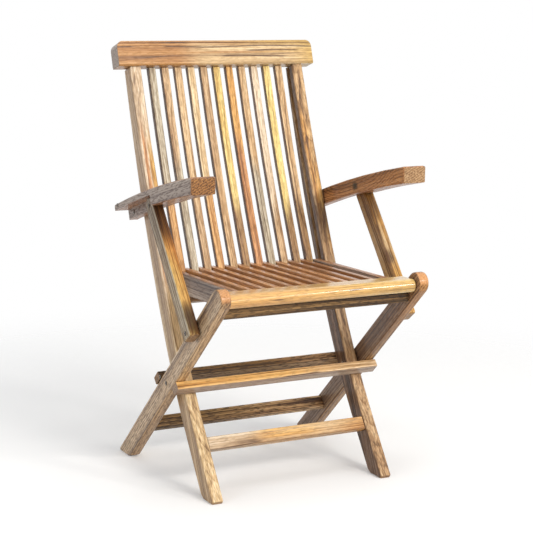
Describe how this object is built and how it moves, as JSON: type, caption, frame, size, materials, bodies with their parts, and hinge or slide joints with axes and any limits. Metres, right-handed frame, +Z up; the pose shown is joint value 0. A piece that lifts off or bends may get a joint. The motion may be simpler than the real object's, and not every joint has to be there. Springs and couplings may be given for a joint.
{
  "type": "folding armchair",
  "caption": "Folding teak armchair with a slatted seat and back, flat arms on slanting posts and crossed side frames.",
  "frame": {"origin": "on the floor under the middle of the open chair", "axes": "+X to the right of someone who looks at the chair from the front, +Y to the back, +Z up"},
  "size_m": [0.508, 0.5247, 0.8554],
  "materials": {
    "teak_frame": "oiled, satin",
    "teak_slats": "oiled, satin",
    "teak_arms": "oiled, satin",
    "screw_steel": "brushed, darkened"
  },
  "bodies": {
    "back_frame": {"top_rail": "teak_frame", "stile_left": "teak_frame", "stile_right": "teak_frame", "back_slat_1": "teak_slats", "back_slat_2": "teak_slats", "back_slat_3": "teak_slats", "back_slat_4": "teak_slats", "back_slat_5": "teak_slats", "back_slat_6": "teak_slats", "back_slat_7": "teak_slats", "back_slat_8": "teak_slats", "back_slat_9": "teak_slats", "back_slat_10": "teak_slats", "back_slat_11": "teak_slats", "lower_back_rail": "teak_frame", "front_stretcher": "teak_frame", "crossing_bolt_left": "screw_steel", "crossing_bolt_right": "screw_steel", "arm_pivot_screw_left": "screw_steel", "arm_pivot_screw_right": "screw_steel"},
    "rear_frame": {"rear_leg_left": "teak_frame", "rear_leg_right": "teak_frame", "front_stop_rail": "teak_frame", "rear_stop_rail": "teak_frame", "rear_stretcher": "teak_frame"},
    "seat": {"seat_front_rail": "teak_frame", "seat_side_rail_left": "teak_frame", "seat_side_rail_right": "teak_frame", "seat_apron": "teak_frame", "seat_cross_rail": "teak_frame", "seat_slat_1": "teak_slats", "seat_slat_2": "teak_slats", "seat_slat_3": "teak_slats", "seat_slat_4": "teak_slats", "seat_slat_5": "teak_slats", "seat_slat_6": "teak_slats", "seat_slat_7": "teak_slats", "seat_slat_8": "teak_slats", "seat_slat_9": "teak_slats", "seat_slat_10": "teak_slats", "seat_pivot_pin_left": "screw_steel", "seat_pivot_pin_right": "screw_steel", "seat_slide_pin_left": "screw_steel", "seat_slide_pin_right": "screw_steel"},
    "arm_left": {"arm_left": "teak_arms", "post_top_screw_left": "screw_steel"},
    "post_left": {"post_left": "teak_frame", "post_foot_screw_left": "screw_steel"},
    "arm_right": {"arm_right": "teak_arms", "post_top_screw_right": "screw_steel"},
    "post_right": {"post_right": "teak_frame", "post_foot_screw_right": "screw_steel"}
  },
  "joints": [
    {"name": "fold", "type": "hinge", "parent": "back_frame", "child": "rear_frame", "pos_m": [0, -0.02445, 0.2026], "axis": [-1, 0, 0], "range_deg": [0, 60]},
    {"name": "seat_fold", "type": "hinge", "parent": "rear_frame", "child": "seat", "pos_m": [0, -0.24206, 0.40911], "axis": [1, 0, 0], "range_deg": [0, 120]},
    {"name": "arm_left_fold", "type": "hinge", "parent": "back_frame", "child": "arm_left", "pos_m": [0, 0.13736, 0.51839], "axis": [-1, 0, 0], "range_deg": [0, 69]},
    {"name": "post_left_fold", "type": "hinge", "parent": "arm_left", "child": "post_left", "pos_m": [0, 0.00825, 0.55013], "axis": [1, 0, 0], "range_deg": [0, 87]},
    {"name": "arm_right_fold", "type": "hinge", "parent": "back_frame", "child": "arm_right", "pos_m": [0, 0.13736, 0.51839], "axis": [-1, 0, 0], "range_deg": [0, 69]},
    {"name": "post_right_fold", "type": "hinge", "parent": "arm_right", "child": "post_right", "pos_m": [0, 0.00825, 0.55013], "axis": [1, 0, 0], "range_deg": [0, 87]}
  ],
  "couplings": [
    {"joint": "seat_fold", "follows": "fold", "ratio": 2},
    {"joint": "arm_left_fold", "follows": "fold", "ratio": 1.15},
    {"joint": "post_left_fold", "follows": "fold", "ratio": 1.45},
    {"joint": "arm_right_fold", "follows": "fold", "ratio": 1.15},
    {"joint": "post_right_fold", "follows": "fold", "ratio": 1.45}
  ]
}
